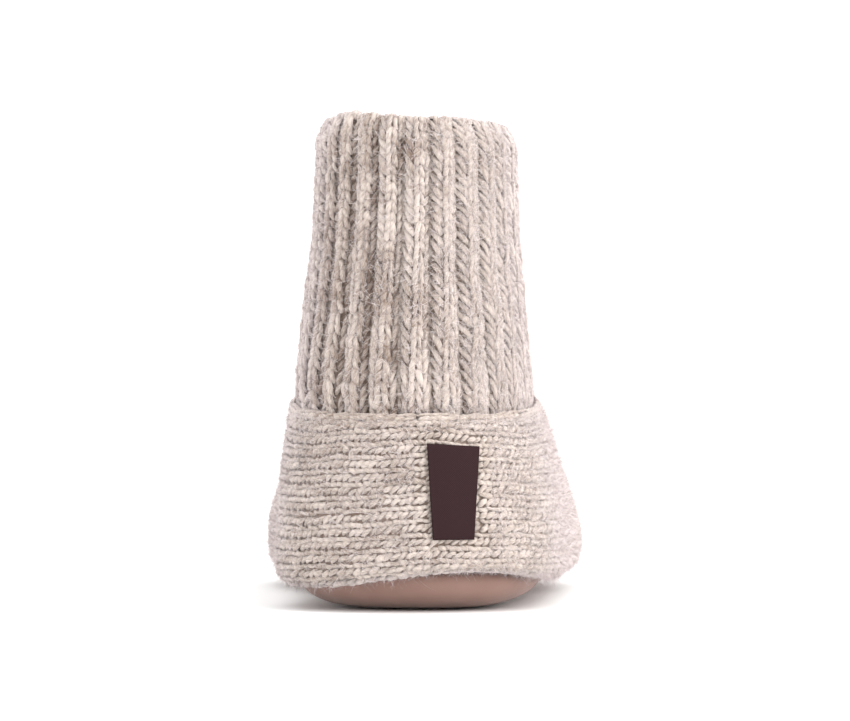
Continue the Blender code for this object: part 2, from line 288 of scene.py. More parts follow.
def new_group(name, takes, gives):
    """A node group with named sockets: the group, what it is given, and the node for its results."""
    group = bpy.data.node_groups.new(name, "ShaderNodeTree")
    for sockets, side in ((takes, "INPUT"), (gives, "OUTPUT")):
        for socket, kind in sockets:
            group.interface.new_socket(name=socket, in_out=side, socket_type=kind)
    return group, group.nodes.new("NodeGroupInput").outputs, group.nodes.new("NodeGroupOutput")


def make_marl():
    """Marled wool: pale and grey-brown fibres twisted together, streaky along the yarn. The shade it reads holds
    the yarn's own marling and also painted shade and painted light.
    """
    group, given, result = new_group(
        "marled_wool",
        (("Pale", "NodeSocketColor"), ("Dark", "NodeSocketColor"), ("Contrast", "NodeSocketFloat")),
        (("Color", "NodeSocketColor"), ("Fibres", "NodeSocketFloat")))
    yarn = new_node(group, "Attribute", {}, attribute_name="yarn")
    marl_and_shade = new_node(group, "Attribute", {}, attribute_name="marl_and_shade")
    along, around, own = new_node(group, "SeparateXYZ", {0: yarn.outputs["Vector"]}).outputs
    twist = number(group, "MULTIPLY_ADD", around, 1.0, number(group, "MULTIPLY", along, 0.11))

    def strands(across, lengthwise, inputs):
        place = new_node(group, "CombineXYZ", {
            0: number(group, "MULTIPLY", twist, across), 1: number(group, "MULTIPLY", along, lengthwise), 2: own})
        return new_node(group, "TexNoise", {"Vector": place.outputs[0], "Scale": 1.0, **inputs}).outputs["Fac"]

    streaks = strands(8.0, 0.30, {"Detail": 3.0, "Roughness": 0.65})
    fine = strands(20.0, 0.9, {"Detail": 2.0})
    share = number(group, "ADD", marl_and_shade.outputs["Fac"], number(group, "MULTIPLY_ADD", streaks, 2.0, -1.0))
    share = number(group, "ADD", share, number(group, "MULTIPLY_ADD", fine, 1.8, -0.9))
    spread = number(group, "MULTIPLY_ADD", number(group, "SUBTRACT", share, 0.5), given["Contrast"], 0.42)
    held = new_node(group, "Clamp", {0: spread}).outputs[0]
    fill(group, result, {
        "Color": mixed(group, held, given["Pale"], given["Dark"]),
        "Fibres": number(group, "MULTIPLY_ADD", fine, 0.6, number(group, "MULTIPLY", streaks, 0.4))})
    return group


marled_wool = make_marl()


def new_material(name):
    material = bpy.data.materials.new(name)
    material.use_nodes = True
    return material, material.node_tree


def wool_material(name, pale, dark, contrast, fibre_depth):
    """Wool with marled colour, a soft sheen, fibres in relief, and a painted sheen: its colour paled towards lilac
    where its surface turns edge-on.
    """
    material, tree = new_material(name)
    marl_and_shade = new_node(tree, "Group", {"Pale": pale, "Dark": dark, "Contrast": contrast}, node_tree=marled_wool)
    outward = new_node(tree, "Attribute", {}, attribute_name="outward")
    turned = new_node(tree, "VectorTransform", {0: outward.outputs["Vector"]},
                      vector_type="NORMAL", convert_from="OBJECT", convert_to="WORLD")
    facing = new_node(tree, "LayerWeight", {"Blend": 0.5, "Normal": turned.outputs[0]})
    # Painted sheen: towards the outline, where the surface turns edge-on, the colour goes over to pale lilac.
    edge = new_node(
        tree, "MapRange",
        {"Value": facing.outputs["Facing"], "From Min": 0.42, "From Max": 0.92, "To Max": 0.40},
        interpolation_type="SMOOTHSTEP")
    bump = new_node(tree, "Bump", {"Strength": 0.8, "Distance": fibre_depth, "Height": marl_and_shade.outputs["Fibres"]})
    fill(tree, tree.nodes["Principled BSDF"], {
        "Roughness": 0.92, "Specular IOR Level": 0.05,
        "Sheen Weight": 0.60, "Sheen Roughness": 0.38, "Sheen Tint": SHEEN_TINT,
        "Base Color": mixed(tree, edge.outputs[0], marl_and_shade.outputs["Color"], PAINTED_EDGE_SHEEN),
        "Normal": bump.outputs["Normal"]})
    return material


def new_piece(name, points, faces, material, yarn, marl_and_shade, outward=None):
    """A smooth mesh piece on the slipper's one body, with its yarn's places for the wool."""
    mesh = bpy.data.meshes.new(name)
    points = np.asarray(points, dtype=np.float32).reshape(-1, 3)
    faces = np.asarray(faces, dtype=np.int32)
    mesh.vertices.add(len(points))
    mesh.vertices.foreach_set("co", points.ravel())
    mesh.loops.add(faces.size)
    mesh.loops.foreach_set("vertex_index", faces.ravel())
    mesh.polygons.add(len(faces))
    mesh.polygons.foreach_set("loop_start", np.arange(0, faces.size, faces.shape[1], dtype=np.int32))
    mesh.polygons.foreach_set("use_smooth", np.ones(len(faces), dtype=bool))
    for title, kind, field, values in (
            ("yarn", "FLOAT_VECTOR", "vector", yarn), ("marl_and_shade", "FLOAT", "value", marl_and_shade),
            ("outward", "FLOAT_VECTOR", "vector", outward)):
        if values is not None:
            layer = mesh.attributes.new(title, kind, "POINT")
            layer.data.foreach_set(field, np.asarray(values, dtype=np.float32).ravel())
    mesh.update(calc_edges=True)
    mesh.validate()
    mesh.materials.append(material)
    piece = bpy.data.objects.new(name, mesh)
    bpy.context.scene.collection.objects.link(piece)
    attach(piece, "root")
    return piece


def grid_faces(count, rows, around):
    """Quads between the points of a grid, which may close round its first axis."""
    i = np.arange(count if around else count - 1)[:, None]
    j = np.arange(rows - 1)[None, :]
    after = (i + 1) % count
    corners = [i * rows + j, after * rows + j, after * rows + j + 1, i * rows + j + 1]
    return np.stack(corners, axis=-1).reshape(-1, 4)


def weld_rim(piece, reach):
    """Merge the points of a mesh's open edges that lie closer than reach."""
    body = bmesh.new()
    body.from_mesh(piece.data)
    bmesh.ops.remove_doubles(body, verts=[v for v in body.verts if v.is_boundary], dist=reach)
    body.to_mesh(piece.data)
    body.free()


def thicken(piece, thickness):
    """Give a sheet its thickness, inwards from its points."""
    solid = piece.modifiers.new("thickness", "SOLIDIFY")
    solid.thickness = thickness
    solid.offset = -1.0
    graph = bpy.context.evaluated_depsgraph_get()
    mesh = bpy.data.meshes.new_from_object(piece.evaluated_get(graph), depsgraph=graph)
    piece.modifiers.clear()
    piece.data = mesh


# Backing colours darker than the yarn's: painted shade of the gaps between stitches.
backing_wool = wool_material("knit_backing", (0.42, 0.33, 0.275, 1.0), (0.17, 0.115, 0.088, 1.0), 0.9, 0.0004)
columns = np.arange(0, STATION_COUNT, 4)[:, None]
shares = np.linspace(0.0, 1.0, BACKING_ROWS)
rows = edge_row[columns] + 0.0006 + (last_row - edge_row - 0.0010)[columns] * shares
place, normal = foot_surface(np.repeat(columns, BACKING_ROWS, 1).astype(float), rows)
backs = np.stack(np.broadcast_arrays(columns * STATION_STEP * 1000.0, rows * 1000.0, 0.0), axis=-1)
# Its shade falls towards the outer side of the heel, so that it is lighter there: painted light.
foot_backing = new_piece(
    "foot_backing", place - normal * FABRIC_DEPTH, grid_faces(len(columns), BACKING_ROWS, True),
    backing_wool, backs,
    0.5 - 0.5 * np.repeat(swell(columns / STATION_COUNT, FELT_AND_LIGHT_AT, FELT_AND_LIGHT_REACH), BACKING_ROWS), normal)
weld_rim(foot_backing, 0.0012)
thicken(foot_backing, FABRIC_THICKNESS)
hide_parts("foot_knit")


# Foot part: its stitches.
# Plain knit in thick marled wool, turned sideways, so that its columns of stitches run along
# the foot. Of each stitch one leg slants and the other lies almost along its column.
WALE_PITCH = 0.00415
STITCH_PITCH = 0.0023
FIRST_WALE = 0.0020
EDGE_CLEAR = 0.0006
SHORTEST_RUN = 0.004
EDGE_STITCH = 0.45
LEG_RINGS = 6
LEG_SIDES = 5
LEG_OPEN = math.radians(128.0)
LEG_ROUGHNESS = 0.00008
UNDER_LABEL = 0.0007
luck = np.random.default_rng(7)

# Legs of a stitch: length, rise, the rise's growth in the edge's large stitches, place in the
# column, bow, half width and lift
STITCH_LEGS = (
    (0.0031, 0.00190, 0.4, 0.25 * WALE_PITCH, 0.00012, 0.00080, -0.00066),
    (0.0034, -0.00060, 0.0, -0.25 * WALE_PITCH, -0.00008, 0.00074, -0.00076),
)


def soft_field(columns, rows, reach):
    """Random shades that change softly: reach is how far they run along and across."""
    field = luck.normal(size=(columns, rows))
    field = smooth(smooth(field, reach[0], 0, True), reach[1], 1, False)
    return field / field.std()


def joined(legs):
    """Rows of legs put together: one array for each thing that a row lists."""
    return [np.concatenate(part) for part in zip(*legs)]


def lay_yarn(name, material, surface, legs, half_height, rings=LEG_RINGS, painted_end_shade=0.16):
    """A piece of many tapered legs of yarn on a surface.

    legs lists where each one starts and ends, in the surface's two coordinates, how it bows,
    its half width, how far it dives under at both ends, how far all of it is raised, and its
    shade. The last argument is added to the shade towards both ends: painted shade where the
    yarn dives under."""
    start, end, bow, half_width, sink, lift, marl_and_shade = legs
    count = len(start)
    t = np.linspace(0.0, 1.0, rings)[None, :]
    arc = np.sin(math.pi * t)
    u, w = [start[:, k:k + 1] + (end - start)[:, k:k + 1] * t + bow[:, k:k + 1] * arc for k in (0, 1)]
    place, normal = surface(u, w)
    along = np.gradient(place, axis=1)
    along /= np.maximum(np.linalg.norm(along, axis=-1, keepdims=True), 1e-12)
    side = np.cross(normal, along)
    height = lift[:, None] - sink[:, None] * (1.0 - arc ** 0.55)
    centre = place + normal * height[..., None]
    full = 0.55 + 0.45 * arc ** 0.5
    theta = np.linspace(-LEG_OPEN, LEG_OPEN, LEG_SIDES)
    wide = (half_width[:, None] * full)[..., None, None]
    high = (half_height[:, None] * full)[..., None, None]
    points = (centre[:, :, None, :]
              + side[:, :, None, :] * np.sin(theta)[None, None, :, None] * wide
              + normal[:, :, None, :] * np.cos(theta)[None, None, :, None] * high)
    points += luck.normal(0.0, LEG_ROUGHNESS, points.shape)
    run = np.linalg.norm(np.diff(centre, axis=1), axis=-1)
    run = np.concatenate([np.zeros((count, 1)), np.cumsum(run, axis=1)], axis=1) * 1000.0
    run += luck.uniform(0.0, 60.0, (count, 1))
    yarn = np.empty((count, rings, LEG_SIDES, 3))
    yarn[..., 0] = run[:, :, None]
    yarn[..., 1] = theta / (2.0 * math.pi)
    yarn[..., 2] = luck.uniform(0.0, 40.0, count)[:, None, None]
    # Painted shade: each leg is darker towards its ends, where it dives under its neighbours.
    shade = marl_and_shade[:, None] + np.reshape(painted_end_shade, (-1, 1)) * (1.0 - arc)
    shade = np.broadcast_to(shade[:, :, None], (count, rings, LEG_SIDES))
    one = grid_faces(rings, LEG_SIDES, False)[:, ::-1]
    faces = (one[None] + (np.arange(count) * rings * LEG_SIDES)[:, None, None]).reshape(-1, 4)
    outward = np.broadcast_to(normal[:, :, None, :], points.shape)
    return new_piece(name, points, faces, material, yarn, shade, outward)


def seam_station(w):
    """Where the centre-back join runs: it leans to the outer side towards the floor."""
    return 2.2 + 1.2 * (last_row[0] - w) / (last_row[0] - edge_row[0])


def felted_and_lit(share):
    """How far the wool is rubbed flatter, and painted lighter and calmer in colour (painted light), most at the
    outer side of the heel.
    """
    return swell(from_back(share), FELT_AND_LIGHT_AT, FELT_AND_LIGHT_REACH)


def at_label(place, margin):
    """Whether places on the foot part lie behind the label, or within a margin round it."""
    inside = place[:, 1] < -0.10
    for axis in (0, 2):
        inside &= (place[:, axis] > label_low[axis] - margin) & (place[:, axis] < label_high[axis] + margin)
    return inside


foot_wool = wool_material("foot_wool_yarn", PALE_WOOL, DARK_WOOL, 0.78, 0.00090)
foot_marl = soft_field(STATION_COUNT, 160, (2.6, 0.6))
foot_marl_wide = soft_field(STATION_COUNT, 160, (7.0, 2.5))
foot_wobble = soft_field(STATION_COUNT, 80, (9.0, 0.8))

edge_mean = edge_row.mean()
first_row = edge_mean + FIRST_WALE
wales = np.arange(int((last_row.max() - first_row) / WALE_PITCH) + 1)
wale_rows = first_row + WALE_PITCH * (wales + 0.45 * (1.0 - np.exp(-wales / 1.2)))

foot_lines = []
for k in wales:
    u_line = seam_station(wale_rows[k]) + np.arange(0.0, STATION_COUNT + 0.01, 0.5)
    edge_here, last_here, wobble = [
        np.interp(u_line, np.arange(STATION_COUNT), line, period=STATION_COUNT)
        for line in (edge_row, last_row, foot_wobble[:, k])]
    w_line = wale_rows[k] + (edge_here - edge_mean) * math.exp(-k / 3.5) + 0.00020 * wobble
    length = run_along(foot_surface(u_line, w_line)[0])
    valid = np.concatenate([[False], w_line < last_here - EDGE_CLEAR, [False]])
    turns = np.flatnonzero(np.diff(valid.astype(int)))
    big = 1.0 + EDGE_STITCH * math.exp(-k / 1.1)
    for first, last in zip(length[turns[::2]], length[turns[1::2] - 1]):
        if last - first < SHORTEST_RUN:
            continue
        count = int((last - first) / (STITCH_PITCH * big))
        at = first + (np.arange(count) + 0.5) * (last - first) / count
        at += luck.normal(0.0, 0.00010, count)
        foot_lines.append((k, big, at, length, u_line, w_line))

legs = []
for k, big, at, length, u_line, w_line in foot_lines:
    count = len(at)
    for leg, (run, rise, growth, middle, bow, wide, lift) in enumerate(STITCH_LEGS):
        run = run * big * luck.normal(1.0, 0.12, count)
        rise = rise * (1.0 + growth * (big - 1.0)) * luck.normal(1.0, 0.20, count)
        rise = rise + luck.normal(0.0, 0.00025, count)
        a0, a1 = at - 0.5 * run, at + 0.5 * run
        u0, u1 = np.interp(a0, length, u_line), np.interp(a1, length, u_line)
        middle = middle + luck.normal(0.0, 0.00016, count)
        w0 = np.interp(a0, length, w_line) + middle - 0.5 * rise
        w1 = np.interp(a1, length, w_line) + middle + 0.5 * rise
        bow = luck.normal(bow, 0.00008, count)
        wide = wide * luck.normal(1.0, 0.13, count) * (1.0 + 0.45 * (big - 1.0))
        sink = 0.00075 * luck.normal(1.0, 0.20, count)
        lift = luck.normal(lift, 0.00014, count)
        i = np.round(0.5 * (u0 + u1)).astype(int) % STATION_COUNT
        lane = 2 * k + 1 - leg
        turn = i / STATION_COUNT
        marl_and_shade = 0.19 * foot_marl[i, lane] + 0.06 * foot_marl_wide[i, lane] + 0.09 * luck.normal(size=count)
        # Painted shade on the inner side of the heel, painted light at the centre back and on the lowest wales,
        # and on the outer side of the heel a calmer marling, painted light.
        shade = (0.30 + 0.05 * swell(from_back(turn), -0.10, 0.06) - 0.05 * swell(from_back(turn), 0.01, 0.05)
                 - 0.12 * math.exp(-k / 3.0) + (1.0 - 0.75 * felted_and_lit(turn)) * marl_and_shade)
        legs.append((np.stack([u0, w0], 1), np.stack([u1, w1], 1), np.stack([0.0 * bow, bow], 1),
                     wide, sink, lift, shade))
starts, ends, bows, widths, sinks, lifts, shades = joined(legs)
turn = np.mod(starts[:, 0], STATION_COUNT) / STATION_COUNT
lifts[at_label(foot_surface(*(0.5 * (starts + ends)).T)[0], -0.0005)] -= UNDER_LABEL
felt_and_light = felted_and_lit(turn)
widths, sinks = widths * (1.0 + 0.16 * felt_and_light), sinks * (1.0 - 0.62 * felt_and_light)
heights = widths * (0.74 - 0.30 * felt_and_light)
legs = (starts, ends, bows, widths, sinks, lifts, shades)

# The legs' ends carry painted shade where they dive under, less of it on the outer side of the heel: painted
# light.
for name, first, last, rings in (
        ("foot_stitches_heel", -0.12, 0.12, 6), ("foot_stitches_outer", 0.12, 0.36, 5),
        ("foot_stitches_toe", 0.36, 0.64, 5), ("foot_stitches_inner", 0.64, 0.88, 5)):
    chosen = np.mod(turn - first, 1.0) < last - first
    piece = lay_yarn(name, foot_wool, foot_surface, [part[chosen] for part in legs],
                     heights[chosen], rings, 0.16 - 0.14 * felt_and_light[chosen])
    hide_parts("foot_knit")


# Shaft: the shape that its ribs follow.
# A tube of two-by-two rib, which stands in the topline. Its outside over the crests is read from
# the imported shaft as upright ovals, and it goes on over the rim and a long way down inside.
RIB_COUNT = 26
RIB_DEPTH = 0.0018
RIB_COLUMNS = 24
SHAFT_COLUMNS = RIB_COUNT * RIB_COLUMNS
SHAFT_ROWS = 130
SHAFT_GIRTH = 0.25
SHAFT_MIDDLE_Y = -0.0615
BETWEEN_CRESTS = 0.9935
OVAL_RAYS = 520
TOPLINE_FLOOR = 0.056
BELOW_TOPLINE = 0.0045
NOTCH_COLUMNS = 36
RIM_RADIUS = 0.0021
RIM_STEPS = 5
RIM_ROLL, ROLLED_IN = 0.0070, 0.0022
RIM_CALM, RIM_CALM_HEIGHT = 0.35, 0.008
INSIDE_REACH = 0.080

shaft_tree = tree_of("rib_shaft")
shaft_low, shaft_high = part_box("rib_shaft")
oval_heights = np.linspace(shaft_low.z + 0.0015, shaft_high.z - 0.0040, 50)
ovals = []
for height in oval_heights:
    outer = []
    middle = Vector((HEEL_X, SHAFT_MIDDLE_Y, height))
    for angle in np.linspace(0.0, 2.0 * math.pi, OVAL_RAYS, endpoint=False):
        way = Vector((math.sin(angle), -math.cos(angle), 0.0))
        place = shaft_tree.ray_cast(middle + way * 0.12, -way, 0.12)[0]
        if place is not None:
            outer.append((place.x, place.y))
    (left, back), (right, front) = np.min(outer, 0), np.max(outer, 0)
    ovals.append((left, right, back, front if len(outer) == OVAL_RAYS else np.nan))
left, right, back, front = np.array(ovals).T
whole = np.flatnonzero(np.isfinite(front))[1:]
front = stretched(oval_heights, oval_heights[whole], front[whole])
ovals = np.stack([0.5 * (left + right), 0.5 * (back + front),
                  0.5 * (right - left) / BETWEEN_CRESTS, 0.5 * (front - back)], 1)
ovals = smooth(ovals, 1.5, 0, False)


def oval_at(height):
    return [stretched(height, oval_heights, column) for column in ovals.T]


def oval_ring(heights):
    """Points at even lengths round the shaft from the centre back, each at its own height."""
    fine = np.linspace(0.0, 2.0 * math.pi, 1441)
    wide, deep = oval_at(np.array([heights.mean()]))[2:]
    length = run_along(np.stack([wide * np.sin(fine), -deep * np.cos(fine)], 1))
    turn = np.interp(np.arange(len(heights)) / len(heights) * length[-1], length, fine)
    x, y, wide, deep = oval_at(heights)
    place = np.stack([x + wide * np.sin(turn), y - deep * np.cos(turn), heights], 1)
    outward = np.stack([np.sin(turn) / wide, -np.cos(turn) / deep, 0.0 * turn], 1)
    return place, outward / np.linalg.norm(outward, axis=1, keepdims=True)


def height_under(tree, place, top, reach):
    """Height of the first thing under a place, looked for from the top, or nan."""
    found = tree.ray_cast(Vector((place[0], place[1], top)), Vector((0.0, 0.0, -1.0)), reach)[0]
    return found.z if found is not None else np.nan


def filled(line):
    """Heights round the shaft, with the unknown ones filled in from their neighbours."""
    good = np.isfinite(line)
    return np.interp(spots, spots[good], line[good], period=SHAFT_COLUMNS)


spots = np.arange(SHAFT_COLUMNS)
topline = np.full(SHAFT_COLUMNS, 0.062)
edge_away = np.full(SHAFT_COLUMNS, 0.0010)
for step in range(2):
    place, outward = oval_ring(topline)
    for i in range(SHAFT_COLUMNS):
        topline[i] = np.nan
        for away in np.arange(0.0010, 0.0100, 0.0005):
            height = height_under(foot_tree, place[i] + outward[i] * away, OVERHEAD, 0.09)
            if height > TOPLINE_FLOOR:
                topline[i], edge_away[i] = height, away
                break
    topline = smooth(filled(topline), 4.0, 0, True)
edge_away = smooth(edge_away, 6.0, 0, True)
place, outward = oval_ring(np.full(SHAFT_COLUMNS, shaft_high.z - 0.004))
collar = np.array([height_under(shaft_tree, place[i] - outward[i] * 0.0022, 0.18, 0.06) for i in spots])
topline, collar = [smooth(filled(line), 8.0, 0, True) for line in (topline, collar)]

# Notches of the rim's height line that are narrower than this many columns to both sides are closed.
turns = range(-NOTCH_COLUMNS, NOTCH_COLUMNS + 1)
collar = np.max([np.roll(collar, step) for step in turns], axis=0)
collar = smooth(np.min([np.roll(collar, step) for step in turns], axis=0), 6.0, 0, True)

# The rim's own line: a slight dip at the centre back, a rise beside it, and a drop at the inner side
rim_x = place[:, 0]
collar += 0.0012 - 0.0003 * swell(rim_x, 0.0010, 0.0075)
collar += 0.0012 * swell(rim_x, 0.0130, 0.011) * (outward[:, 1] < 0.0)
collar -= 0.0018 * np.clip((-0.0280 - rim_x) / 0.004, 0.0, 1.0)

shaft_start = topline - BELOW_TOPLINE
shaft_end = collar - RIM_RADIUS + 0.0009
rings = []
for share in np.linspace(0.0, 1.0, SHAFT_ROWS):
    place, outward = oval_ring(shaft_start + (shaft_end - shaft_start) * share)
    roll = np.clip(1.0 - (1.0 - share) * (shaft_end - shaft_start) / RIM_ROLL, 0.0, 1.0)
    rings.append((place - outward * ROLLED_IN * roll[:, None] ** 2, outward))
outside, shaft_out = [np.stack(part, 1) for part in zip(*rings)]
shaft_length = float(run_along(outside[0])[-1])
ROW_HEIGHT = shaft_length / (SHAFT_ROWS - 1)
over = []
for angle in math.pi * np.arange(1, RIM_STEPS) / RIM_STEPS:
    inwards = shaft_out[:, -1] * (-RIM_RADIUS * (1.0 - math.cos(angle)))
    over.append(outside[:, -1] + inwards + np.array([0.0, 0.0, RIM_RADIUS * math.sin(angle)]))
for row in range(SHAFT_ROWS - 1, SHAFT_ROWS - 1 - int(INSIDE_REACH / ROW_HEIGHT), -1):
    over.append(outside[:, row] - shaft_out[:, row] * 2.0 * RIM_RADIUS)
rim_first = SHAFT_ROWS - 1
inside_first = rim_first + RIM_STEPS
shaft_grid = np.concatenate([outside, np.stack(over, 1)], 1)
shaft_normals = grid_normals(shaft_grid)

# Creases: share of the way round, height over the shaft's foot, half length, half height, depth
SHAFT_CREASES = (
    (0.02, 0.022, 0.030, 0.0045, -0.0007),
    (0.10, 0.050, 0.020, 0.0050, -0.0008),
    (0.46, 0.012, 0.030, 0.0060, -0.0012),
    (0.90, 0.036, 0.022, 0.0055, -0.0007),
)
# Valleys deeper or flatter than the others: place from the centre back, reach, and by how much
RIB_SLACK = ((-0.14, 0.075, 0.95), (0.0, 0.07, 0.65), (0.15, 0.07, -0.45))


def shaft_surface(v, row):
    """Point and outward direction on the shaft: v counts ribs, and row the grid's rows."""
    place, normal = read_surface(shaft_grid, shaft_normals, v * RIB_COLUMNS, row)
    inner = np.clip((row - rim_first) / RIM_STEPS, 0.0, 1.0)
    valley = (1.0 - np.cos(math.pi * np.abs(from_back(v)))) ** 1.25
    off_rim = 1.0 - 0.65 * np.clip(1.0 - np.abs(inner - 0.5) * 2.0, 0.0, 1.0)
    turn = v / RIB_COUNT
    slack = 1.0 + sum(share * swell(from_back(turn), at, reach) for at, reach, share in RIB_SLACK)
    to_rim = (rim_first - row) * ROW_HEIGHT
    slack = slack * (1.0 - RIM_CALM * np.clip(1.0 - to_rim / RIM_CALM_HEIGHT, 0.0, 1.0))
    relief = RIB_DEPTH * valley * (0.6 * inner - slack * off_rim * (1.0 - inner))
    for share, rise, along, tall, depth in SHAFT_CREASES:
        away = from_back(turn - share) * SHAFT_GIRTH
        relief = relief + depth * swell(away, 0.0, along) * swell(row * ROW_HEIGHT, rise, tall) * (row < rim_first)
    return place + normal * relief[..., None], normal


# Shaft: its fabric behind the stitches.
# The same wool as the stitches, seen dark between them, closed over the rim and open below,
# where it is sewn inside the topline. Its colours are darker than the stitches': painted shade
# of the gaps between them. It is lighter at the outer side: painted light.
OUTER_ROWS, INNER_ROWS = 56, 20
BEHIND_OUTSIDE, BEHIND_INSIDE = 0.0016, 0.0008
shaft_behind = wool_material("rib_backing", (0.30, 0.228, 0.185, 1.0), (0.12, 0.083, 0.062, 1.0), 0.9, 0.0004)
rows = np.concatenate([np.linspace(0.0, inside_first + 2.0, OUTER_ROWS),
                       np.linspace(inside_first + 6.0, shaft_grid.shape[1] - 1.01, INNER_ROWS)])
columns = np.arange(0, RIB_COUNT, 1.0 / 8.0)[:, None]
place, normal = shaft_surface(*np.broadcast_arrays(columns, rows))
behind = np.where(rows > rim_first + 3.0, BEHIND_INSIDE, BEHIND_OUTSIDE)
shaft_backing = new_piece(
    "shaft_backing", place - normal * behind[:, None], grid_faces(len(columns), len(rows), True), shaft_behind,
    np.stack(np.broadcast_arrays(columns * 9.0, rows, 0.0), axis=-1),
    0.5 - 0.5 * np.repeat(felted_and_lit(columns / RIB_COUNT), len(rows)), normal)
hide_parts("rib_shaft")


# Shaft: its stitches.
# Two columns of plain stitches stand on each rib, the left one wide with a long slanting leg,
# the right one narrow. They are plain and even at the foot of the shaft, and strands of yarn
# run up the valleys between them, shaded darker than the stitches: painted shade of the valleys.
FOOT_PITCH, COLLAR_PITCH = 0.0038, 0.0028
EVEN_PITCH_FROM = 0.70
TURNED_IN_ROWS = 23
FOLD_AT, FOLD_REACH = 0.87, 0.09

# Legs of one rib: from, to, length in rows, half width and lift, above and at the shaft's foot
RIB_LEGS = (
    ((0.045, 0.43, 1.85, 0.00100, 0.00004), (0.09, 0.27, 1.65, 0.00092, 0.0)),
    ((0.565, 0.49, 1.65, 0.00082, 0.00025), (0.48, 0.33, 1.65, 0.00092, 0.0)),
    ((0.630, 0.740, 1.50, 0.00084, 0.00000), (0.54, 0.69, 1.65, 0.00092, 0.0)),
    ((0.945, 0.805, 1.50, 0.00084, -0.00006), (0.92, 0.75, 1.65, 0.00092, 0.0)),
)
# Where the shaft folds deeply at its inner side, each leg is wider, further out, and darker with painted shade of
# the fold, by
FOLDED_LEGS = ((0.06, 0.0, 0.08), (0.22, 0.0001, 0.02), (0.22, 0.0002, 0.04), (0.0, -0.0003, 0.45))


def row_pitch(height):
    """Height of a row: taller at the foot of the shaft, where the knit is stretched."""
    return FOOT_PITCH + (COLLAR_PITCH - FOOT_PITCH) * min(height / shaft_length / EVEN_PITCH_FROM, 1.0)


shaft_wool = wool_material("shaft_wool_yarn", PALE_WOOL, DARK_WOOL, 0.72, 0.00090)
heights = [0.0]
while heights[-1] < shaft_length:
    heights.append(heights[-1] + row_pitch(heights[-1]))
heights = np.array(heights[:-1]) * (shaft_length + 0.0006) / heights[-2]
turned_in = heights[-1] + COLLAR_PITCH * np.arange(1, TURNED_IN_ROWS + 1)
shaft_marl = soft_field(RIB_COUNT * 4, 70, (1.0, 0.70))
shaft_marl_wide = soft_field(RIB_COUNT * 4, 70, (3.0, 2.2))
rib_slant = luck.normal(1.0, 0.10, RIB_COUNT)
rib_split = luck.normal(0.0, 0.020, RIB_COUNT)
ribs = np.arange(RIB_COUNT)
folded = swell(ribs / RIB_COUNT, FOLD_AT, FOLD_REACH)
felt_and_light = felted_and_lit(ribs / RIB_COUNT)

legs = []
for j, height in enumerate(np.concatenate([heights, turned_in])):
    inner = 1.0 if height > shaft_length + 0.0062 else 0.0
    turned = np.full(RIB_COUNT, inner > 0.5)
    plain = 1.0 - min(max((height / shaft_length - 0.10) / 0.22, 0.0), 1.0)
    painted_rim_light = swell(height, shaft_length + 0.001, 0.008)
    pitch = row_pitch(height)
    for lane, (fancy, simple) in enumerate(RIB_LEGS):
        top, foot, span, wide, lift = [a * (1.0 - plain) + b * plain for a, b in zip(fancy, simple)]
        wider, further, darker = FOLDED_LEGS[lane]
        lean = (foot - top) * (rib_slant if lane == 0 else 1.0) * luck.normal(1.0, 0.16, RIB_COUNT)
        tall = span * pitch * luck.normal(1.0, 0.12, RIB_COUNT)
        centre = height + luck.normal(0.0, 0.00028, RIB_COUNT) + 0.5 * pitch
        middle = ribs - 0.5 + 0.5 * (top + foot) + rib_split + 0.5 * inner + luck.normal(0.0, 0.012, RIB_COUNT)
        bow = luck.normal(0.010, 0.008, RIB_COUNT) * (1.0 if lane in (0, 2) else -1.0)
        wide = wide * luck.normal(1.0, 0.12, RIB_COUNT) * (1.0 + 0.12 * felt_and_light + wider * folded)
        sink = 0.00080 * luck.normal(1.0, 0.25, RIB_COUNT) * (1.0 - 0.50 * felt_and_light)
        lift = -0.00072 + lift + luck.normal(0.0, 0.00016, RIB_COUNT) + further * folded
        marl_and_shade = (0.27 * shaft_marl[ribs * 4 + lane, j] + 0.10 * shaft_marl_wide[ribs * 4 + lane, j]
                + 0.10 * luck.normal(size=RIB_COUNT))
        # Painted light at the plain foot of the shaft, near the rim and on the outer side, where the marling is
        # also calmer; painted shade in the deep fold.
        shade = (0.35 - 0.07 * plain - 0.03 * felt_and_light - 0.16 * painted_rim_light
                 + (1.0 - 0.65 * felt_and_light) * marl_and_shade + darker * folded)
        legs.append((np.stack([middle - 0.5 * lean, (centre + 0.5 * tall) / ROW_HEIGHT], 1),
                     np.stack([middle + 0.5 * lean, (centre - 0.5 * tall) / ROW_HEIGHT], 1),
                     np.stack([bow, 0.0 * bow], 1), wide, sink, lift, shade, turned))
    # A strand up each valley, shaded darker: painted shade of the valley, deepest in the fold, and lighter near
    # the rim and on the outer side: painted light.
    v = ribs - 0.5 + rib_split * 0.5 + 0.5 * inner + luck.normal(0.0, 0.012, RIB_COUNT)
    centre = height + luck.normal(0.0, 0.00028, RIB_COUNT) + 0.5 * pitch
    wide = 0.00085 * luck.normal(1.0, 0.10, RIB_COUNT)
    shade = 0.55 - 0.30 * painted_rim_light + 0.9 * folded - 0.40 * felt_and_light + 0.2 * shaft_marl[ribs * 4, j]
    legs.append((np.stack([v - 0.03, (centre + 0.75 * pitch) / ROW_HEIGHT], 1),
                 np.stack([v + 0.04, (centre - 0.75 * pitch) / ROW_HEIGHT], 1),
                 np.zeros((RIB_COUNT, 2)), wide, np.full(RIB_COUNT, 0.0005),
                 -0.00090 - 0.0006 * folded, shade, turned))
*legs, inside = joined(legs)
turn = np.mod(legs[0][:, 0], RIB_COUNT) / RIB_COUNT
